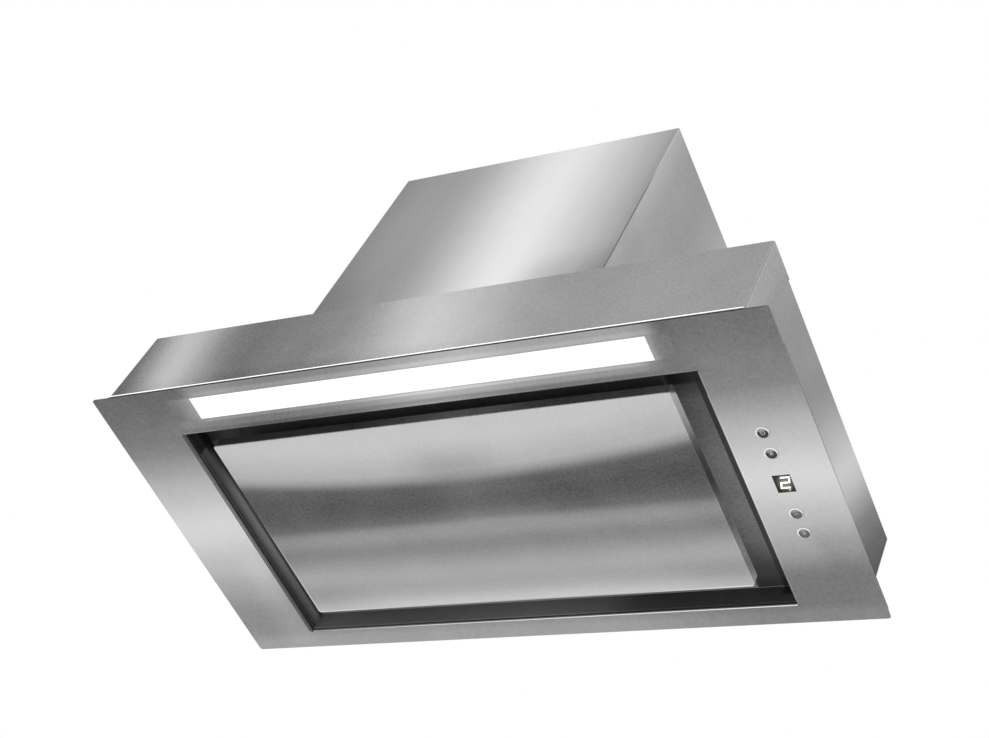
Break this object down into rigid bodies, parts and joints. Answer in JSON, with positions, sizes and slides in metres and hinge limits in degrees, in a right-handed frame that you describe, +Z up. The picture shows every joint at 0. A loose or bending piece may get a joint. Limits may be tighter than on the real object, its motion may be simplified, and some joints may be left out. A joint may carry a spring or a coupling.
{
  "type": "built-in range hood",
  "caption": "Built-in stainless range hood: trim plate with a hinged perimeter-suction panel, a strip light and push buttons, under a shallow body and a boxed blower with a round duct collar.",
  "frame": {"origin": "under the middle of the trim plate, level with the face of the perimeter panel, the lowest face", "axes": "+X to the right as the cook faces the hood, +Y towards the wall, +Z up; the cook stands on the -Y side"},
  "size_m": [0.6, 0.29, 0.3514],
  "materials": {
    "stainless": "brushed",
    "galvanised": "satin zinc",
    "steel": "ground",
    "aluminium": "satin",
    "motor_paint": "satin",
    "fan_plastic": "matte",
    "black_plastic": "matte",
    "white_plastic": "matte",
    "magnet": "coated",
    "lens": "opal",
    "chip": "phosphor",
    "board": "solder mask",
    "chrome": "polished",
    "button_face": "satin",
    "display_glass": "smoked",
    "digit": "lit"
  },
  "bodies": {
    "hood": {"trim_plate": "stainless", "suction_frame": "galvanised", "body_front": "stainless", "body_left_side": "stainless", "body_right_side": "stainless", "body_back": "stainless", "body_top": "stainless", "box_front": "stainless", "box_left_side": "stainless", "box_right_side": "stainless", "box_back": "stainless", "box_top": "stainless", "panel_hinge_brackets": "galvanised", "panel_hinge_pins": "steel", "catch_magnets": "magnet", "filter_frame_left": "aluminium", "filter_frame_right": "aluminium", "filter_mesh": "aluminium", "latch_guides": "black_plastic", "light_lens": "lens", "light_channel": "aluminium", "light_board": "board", "light_chips": "chip", "light_driver": "white_plastic", "button_bezels": "chrome", "display_window": "display_glass", "display_digit": "digit", "display_module": "black_plastic", "control_housing": "white_plastic", "control_board": "board", "tact_switches": "black_plastic", "scroll_band": "galvanised", "scroll_sides": "galvanised", "inlet_rings": "galvanised", "outlet_duct": "galvanised", "motor_body": "motor_paint", "motor_bearings": "steel", "motor_bracket": "galvanised", "capacitor": "white_plastic", "capacitor_clip": "galvanised", "supply_box": "white_plastic", "supply_board": "board", "cable_gland": "black_plastic", "duct_collar": "black_plastic", "collar_base": "black_plastic", "flap_axle": "steel", "sheet_screws": "steel"},
    "panel": {"perimeter_panel": "stainless", "panel_hinge_leaves": "galvanised", "catch_keepers": "galvanised"},
    "left_latch": {"latch_left": "black_plastic"},
    "right_latch": {"latch_right": "black_plastic"},
    "power_button": {"button_power": "button_face"},
    "lamp_button": {"button_lamp": "button_face"},
    "minus_button": {"button_minus": "button_face"},
    "plus_button": {"button_plus": "button_face"},
    "rotor": {"impeller": "fan_plastic", "motor_shaft": "steel"},
    "left_flap": {"flap_left": "fan_plastic"},
    "right_flap": {"flap_right": "fan_plastic"}
  },
  "joints": [
    {"name": "panel_swing", "type": "hinge", "parent": "hood", "child": "panel", "pos_m": [0, 0.1004, 0.0164], "axis": [1, 0, 0], "range_deg": [0, 90]},
    {"name": "left_latch_slide", "type": "slide", "parent": "hood", "child": "left_latch", "axis": [0, 1, 0], "range_m": [0, 0.005], "stiffness_N_per_m": 150, "springref_m": -0.004},
    {"name": "right_latch_slide", "type": "slide", "parent": "hood", "child": "right_latch", "axis": [0, 1, 0], "range_m": [0, 0.005], "stiffness_N_per_m": 150, "springref_m": -0.004},
    {"name": "power_press", "type": "slide", "parent": "hood", "child": "power_button", "axis": [0, 0, 1], "range_m": [0, 0.001], "stiffness_N_per_m": 400, "springref_m": -0.002},
    {"name": "lamp_press", "type": "slide", "parent": "hood", "child": "lamp_button", "axis": [0, 0, 1], "range_m": [0, 0.001], "stiffness_N_per_m": 400, "springref_m": -0.002},
    {"name": "minus_press", "type": "slide", "parent": "hood", "child": "minus_button", "axis": [0, 0, 1], "range_m": [0, 0.001], "stiffness_N_per_m": 400, "springref_m": -0.002},
    {"name": "plus_press", "type": "slide", "parent": "hood", "child": "plus_button", "axis": [0, 0, 1], "range_m": [0, 0.001], "stiffness_N_per_m": 400, "springref_m": -0.002},
    {"name": "rotor_spin", "type": "hinge", "parent": "hood", "child": "rotor", "pos_m": [0, -0.03, 0.1774], "axis": [1, 0, 0], "continuous": true},
    {"name": "left_flap_swing", "type": "hinge", "parent": "hood", "child": "left_flap", "pos_m": [0, 0.03266, 0.3204], "axis": [0, 1, 0], "range_deg": [0, 75]},
    {"name": "right_flap_swing", "type": "hinge", "parent": "hood", "child": "right_flap", "pos_m": [0, 0.03266, 0.3204], "axis": [0, -1, 0], "range_deg": [0, 75]}
  ]
}
